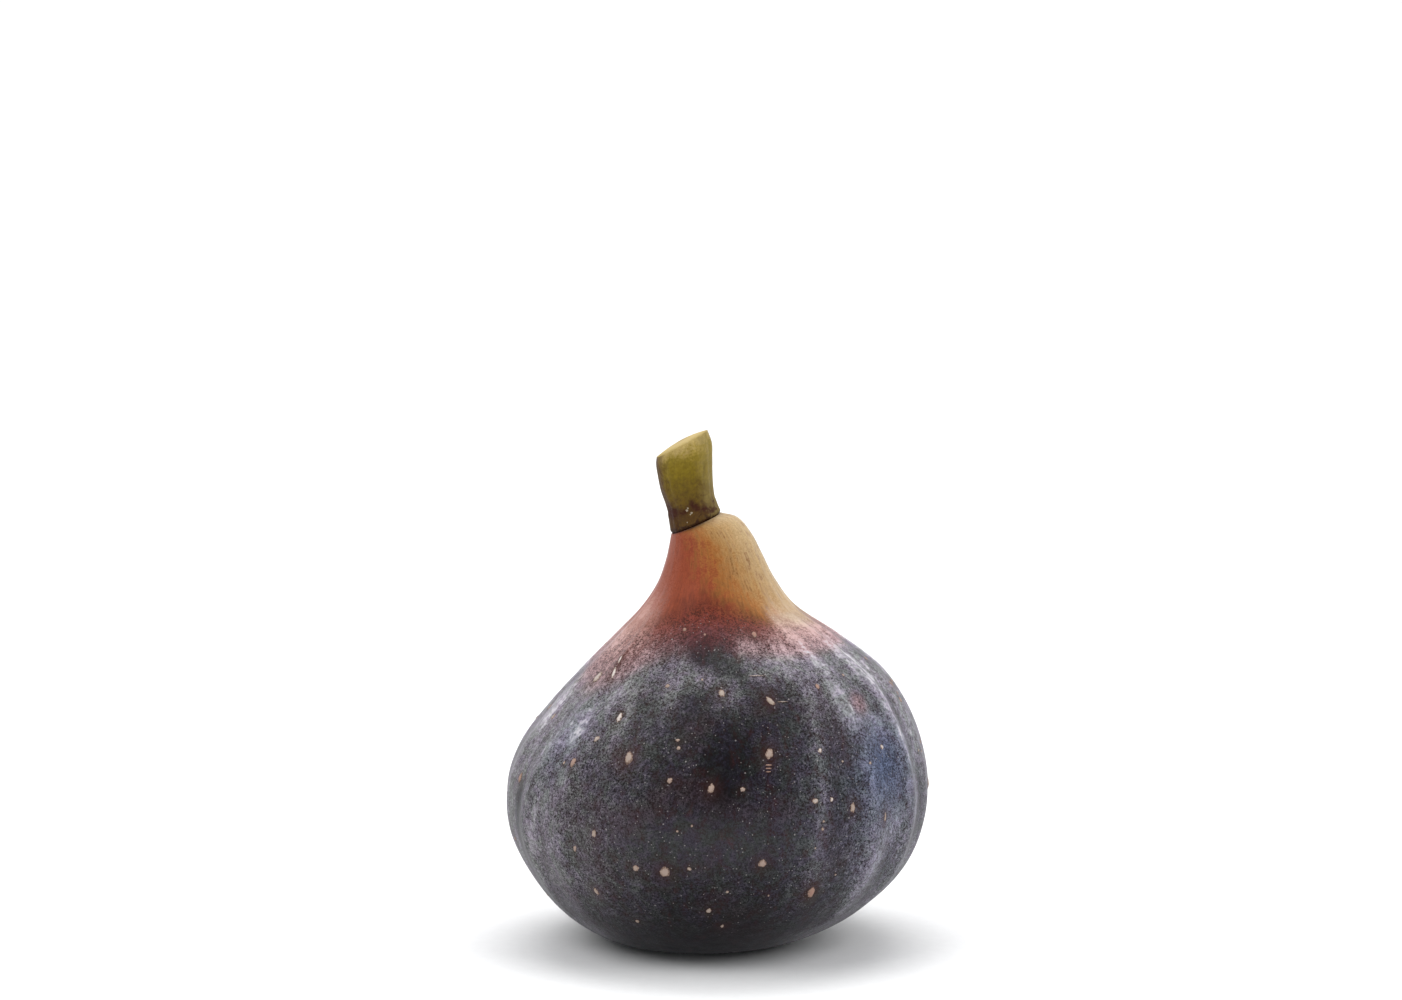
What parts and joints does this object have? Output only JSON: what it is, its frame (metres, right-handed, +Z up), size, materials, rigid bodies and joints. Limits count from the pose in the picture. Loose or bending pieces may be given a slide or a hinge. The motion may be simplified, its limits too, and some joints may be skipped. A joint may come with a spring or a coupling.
{
  "type": "fresh fig",
  "caption": "Whole ripe fig, pear shaped with low ribs, standing on its flattened eye end with a short slanting cut stalk on top.",
  "frame": {"origin": "on the plane the fig stands on, under the middle of its girth (the centre of its outline seen from above)", "axes": "+Z up through the neck; -Y is the front, from which the stalk leans to the left; +X is towards the fuller shoulder"},
  "size_m": [0.0518, 0.0504, 0.0628],
  "materials": {
    "fig_skin": "satin",
    "fig_stalk": "matte"
  },
  "bodies": {
    "root": {"fruit": "fig_skin", "stalk": "fig_stalk"}
  },
  "joints": []
}
